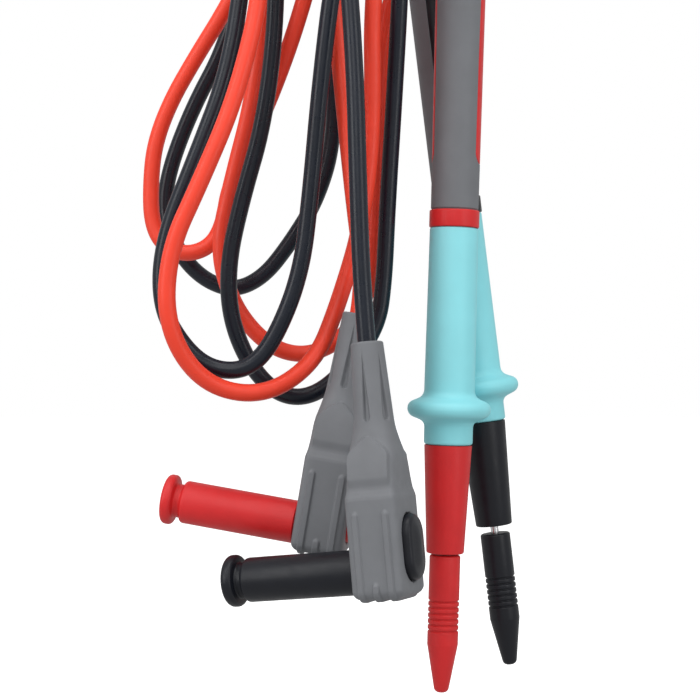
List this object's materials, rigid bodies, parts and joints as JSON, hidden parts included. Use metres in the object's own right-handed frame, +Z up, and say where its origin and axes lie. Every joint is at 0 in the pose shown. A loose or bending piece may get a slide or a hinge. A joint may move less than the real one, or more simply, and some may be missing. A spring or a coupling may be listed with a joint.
{
  "type": "pair of test leads",
  "caption": "Red and black test leads with needle probes, finger guards, right-angle shrouded plugs and tip covers, cables hung in loops over a peg.",
  "frame": {"origin": "on the axis of the peg that the looped cables hang over", "axes": "+Z up, +X to the right as seen from the front, -Y towards the front"},
  "size_m": [0.0938, 0.0748, 0.2419],
  "materials": {
    "red_plastic": "satin moulded",
    "black_plastic": "satin moulded",
    "red_cable": "silicone, slightly glossy",
    "black_cable": "silicone, glossy",
    "grey_rubber": "matt overmoulded",
    "turquoise_rubber": "matt overmoulded",
    "plated_steel": "polished",
    "plated_brass": "nickel plated",
    "brass": "turned",
    "copper": "bare strands"
  },
  "bodies": {
    "root": {"red_needle": "plated_steel", "red_needle_crimp": "brass", "red_probe_core": "red_plastic", "red_finger_guard": "turquoise_rubber", "red_grip_sleeve": "grey_rubber", "red_probe_boot": "grey_rubber", "red_probe_conductor": "copper", "red_probe_cable": "red_cable", "red_plug_body": "grey_rubber", "red_plug_core": "red_plastic", "red_plug_pin": "plated_brass", "red_pin_spring": "plated_brass", "red_plug_terminal": "brass", "red_rear_cap": "red_plastic", "red_plug_conductor": "copper", "red_plug_cable": "red_cable", "red_cable": "red_cable", "black_needle": "plated_steel", "black_needle_crimp": "brass", "black_probe_core": "black_plastic", "black_finger_guard": "turquoise_rubber", "black_grip_sleeve": "grey_rubber", "black_probe_boot": "grey_rubber", "black_probe_conductor": "copper", "black_probe_cable": "black_cable", "black_plug_body": "grey_rubber", "black_plug_core": "black_plastic", "black_plug_pin": "plated_brass", "black_pin_spring": "plated_brass", "black_plug_terminal": "brass", "black_rear_cap": "black_plastic", "black_plug_conductor": "copper", "black_plug_cable": "black_cable", "black_cable": "black_cable"},
    "red_cap": {"red_tip_cap": "red_plastic"},
    "red_cover": {"red_plug_cover": "red_plastic"},
    "black_cap": {"black_tip_cap": "black_plastic"},
    "black_cover": {"black_plug_cover": "black_plastic"}
  },
  "joints": [
    {"name": "red_cap_slide", "type": "slide", "parent": "root", "child": "red_cap", "axis": [-0.0279, 0, -0.9996], "range_m": [-0.0001, 0.04]},
    {"name": "red_cover_slide", "type": "slide", "parent": "root", "child": "red_cover", "axis": [-0.977, 0.1392, 0.1617], "range_m": [0, 0.045]},
    {"name": "black_cap_slide", "type": "slide", "parent": "root", "child": "black_cap", "axis": [0.1149, 0, -0.9934], "range_m": [-0.0017, 0.04]},
    {"name": "black_cover_slide", "type": "slide", "parent": "root", "child": "black_cover", "axis": [-0.9237, 0.3661, -0.1132], "range_m": [0, 0.045]}
  ]
}
